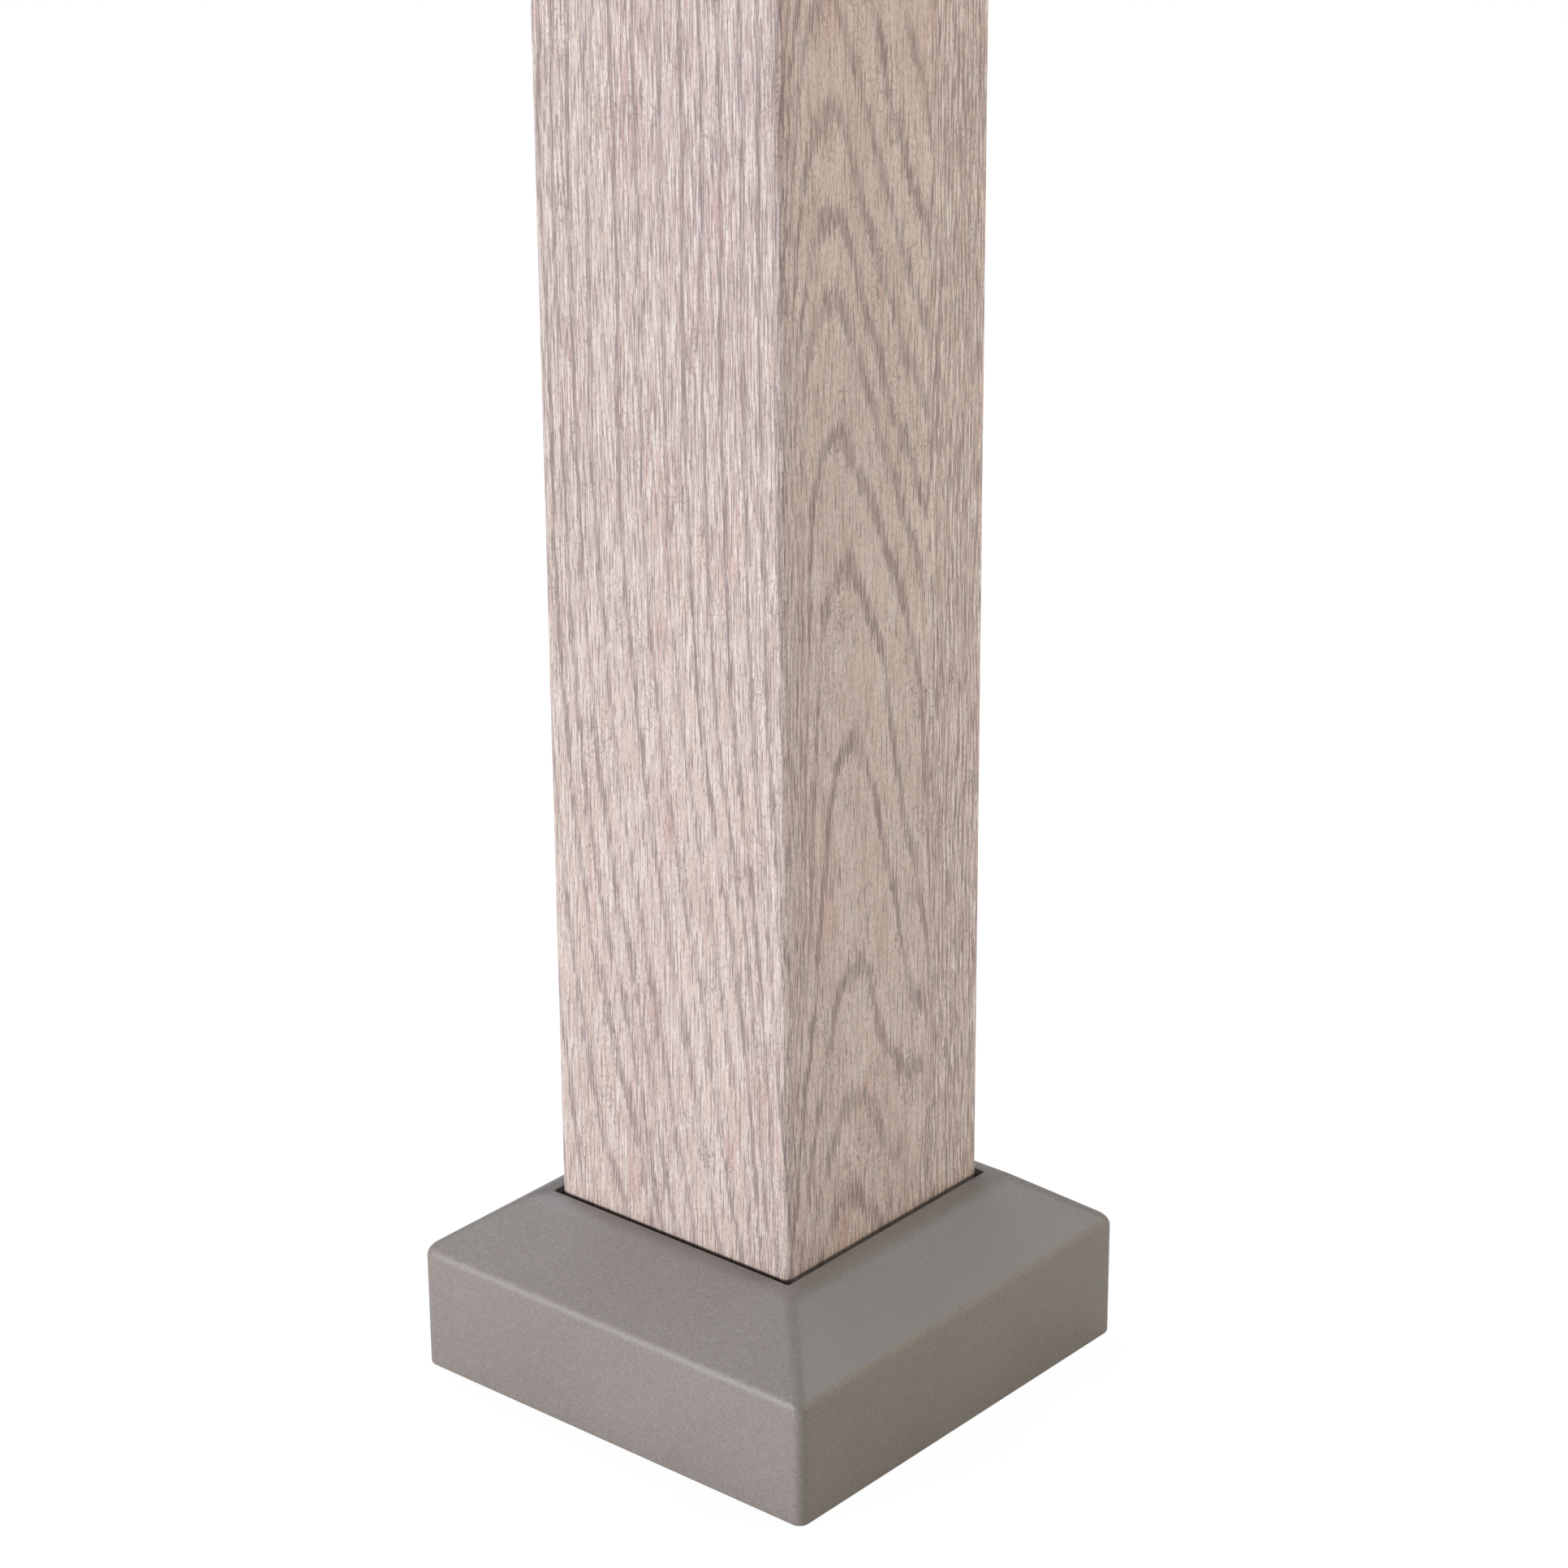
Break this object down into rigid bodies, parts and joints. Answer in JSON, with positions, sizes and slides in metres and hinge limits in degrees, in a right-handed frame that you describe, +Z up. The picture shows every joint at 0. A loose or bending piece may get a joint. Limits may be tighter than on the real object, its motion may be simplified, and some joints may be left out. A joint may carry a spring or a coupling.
{
  "type": "square column post foot with base cover",
  "caption": "Foot of a hollow square column post in a pale limed-oak finish, standing in a taupe base cover with upright walls, sloping sides and a square opening.",
  "frame": {"origin": "on the ground, on the post's centre line, in the middle of the underside", "axes": "+Z up along the post; X and Y square to its faces"},
  "size_m": [0.1676, 0.1676, 1],
  "materials": {
    "woodgrain_aluminium": "satin",
    "taupe_plastic": "satin"
  },
  "bodies": {
    "root": {"post": "woodgrain_aluminium", "base_cover": "taupe_plastic"}
  },
  "joints": []
}
